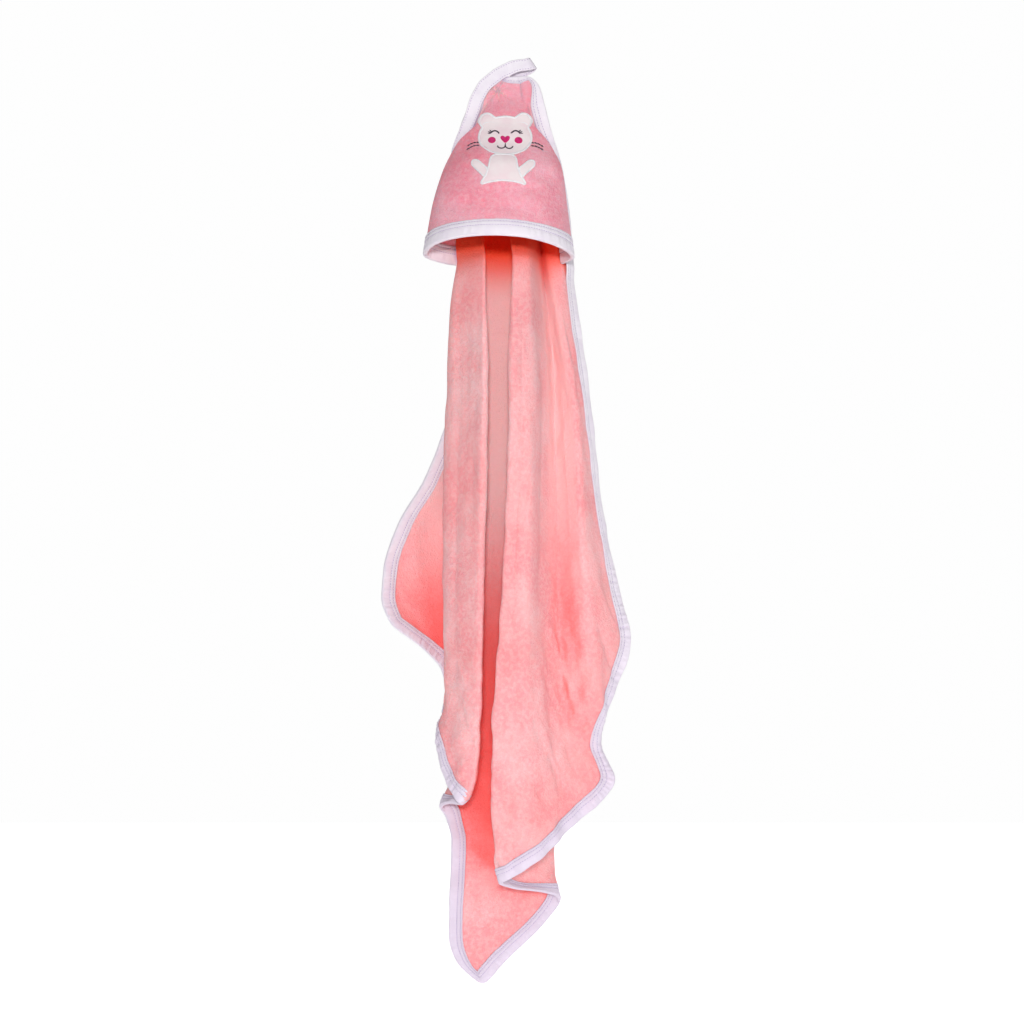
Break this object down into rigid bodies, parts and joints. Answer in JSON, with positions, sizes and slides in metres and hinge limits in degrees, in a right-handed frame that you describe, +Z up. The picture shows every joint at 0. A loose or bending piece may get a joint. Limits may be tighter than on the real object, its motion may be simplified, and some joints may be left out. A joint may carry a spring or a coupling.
{
  "type": "hooded baby towel",
  "caption": "Square looped-cotton baby towel with a sewn corner hood, taped edges, an animal applique and a hanging loop, hanging in soft folds.",
  "frame": {"origin": "inside of the hanging loop, where it rests on a hook", "axes": "+Z up, the hood's front faces -Y, +X to the right seen from the front"},
  "size_m": [0.2892, 0.1706, 1.0522],
  "materials": {
    "towel_cotton": "looped cotton, salmon pink",
    "hood_cotton": "looped cotton, cooler pink",
    "white_tape": "woven cotton tape, white with a lilac tint",
    "applique_cloth": "smooth cream cotton",
    "magenta_thread": "satin stitch embroidery",
    "dark_thread": "running stitch embroidery"
  },
  "bodies": {
    "loop": {"hanging_loop": "white_tape"},
    "towel": {"towel_cloth": "towel_cotton", "hood_cloth": "hood_cotton", "edge_binding": "white_tape", "rim_binding": "white_tape", "applique_head": "applique_cloth", "applique_body": "applique_cloth", "cheek_left": "magenta_thread", "cheek_right": "magenta_thread", "nose": "magenta_thread", "eye_left": "dark_thread", "eye_right": "dark_thread", "mouth": "dark_thread", "whisker_left_upper": "dark_thread", "whisker_left_lower": "dark_thread", "whisker_right_upper": "dark_thread", "whisker_right_lower": "dark_thread"}
  },
  "joints": [
    {"name": "sway", "type": "hinge", "parent": "loop", "child": "towel", "pos_m": [-0.027, 0, -0.014], "axis": [0, 1, 0], "range_deg": [-10, 10]}
  ]
}
